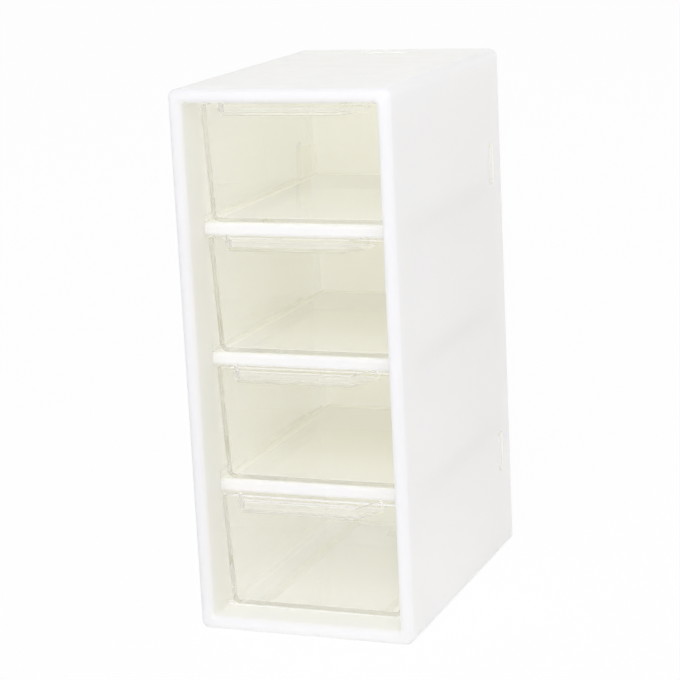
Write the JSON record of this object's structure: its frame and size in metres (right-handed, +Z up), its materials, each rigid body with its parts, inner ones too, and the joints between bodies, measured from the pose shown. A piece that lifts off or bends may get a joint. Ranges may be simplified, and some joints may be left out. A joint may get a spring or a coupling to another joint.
{
  "type": "desktop mini drawers",
  "caption": "Small upright desktop chest: a white rounded sleeve with clear pull-out drawers on slide-in shelves and a clip-in back.",
  "frame": {"origin": "middle of the base, on the surface the chest stands on", "axes": "+X to the chest's right seen from the front, +Y towards its back, +Z up; the drawers open along -Y"},
  "size_m": [0.083, 0.125, 0.2],
  "materials": {
    "white_shell": "satin white moulded polypropylene",
    "white_back": "fine matt white moulded polypropylene",
    "white_shelf": "satin white moulded polypropylene",
    "clear_drawer": "clear glossy moulded polystyrene"
  },
  "bodies": {
    "chest": {"housing": "white_shell", "back_panel": "white_back", "shelf_upper": "white_shelf", "shelf_middle": "white_shelf", "shelf_lower": "white_shelf"},
    "drawer_top": {"drawer_top": "clear_drawer"},
    "drawer_upper": {"drawer_upper": "clear_drawer"},
    "drawer_lower": {"drawer_lower": "clear_drawer"},
    "drawer_bottom": {"drawer_bottom": "clear_drawer"}
  },
  "joints": [
    {"name": "drawer_top_slide", "type": "slide", "parent": "chest", "child": "drawer_top", "axis": [0, -1, 0], "range_m": [0, 0.1017]},
    {"name": "drawer_upper_slide", "type": "slide", "parent": "chest", "child": "drawer_upper", "axis": [0, -1, 0], "range_m": [0, 0.1017]},
    {"name": "drawer_lower_slide", "type": "slide", "parent": "chest", "child": "drawer_lower", "axis": [0, -1, 0], "range_m": [0, 0.1017]},
    {"name": "drawer_bottom_slide", "type": "slide", "parent": "chest", "child": "drawer_bottom", "axis": [0, -1, 0], "range_m": [-0.0025, 0.0992]}
  ]
}
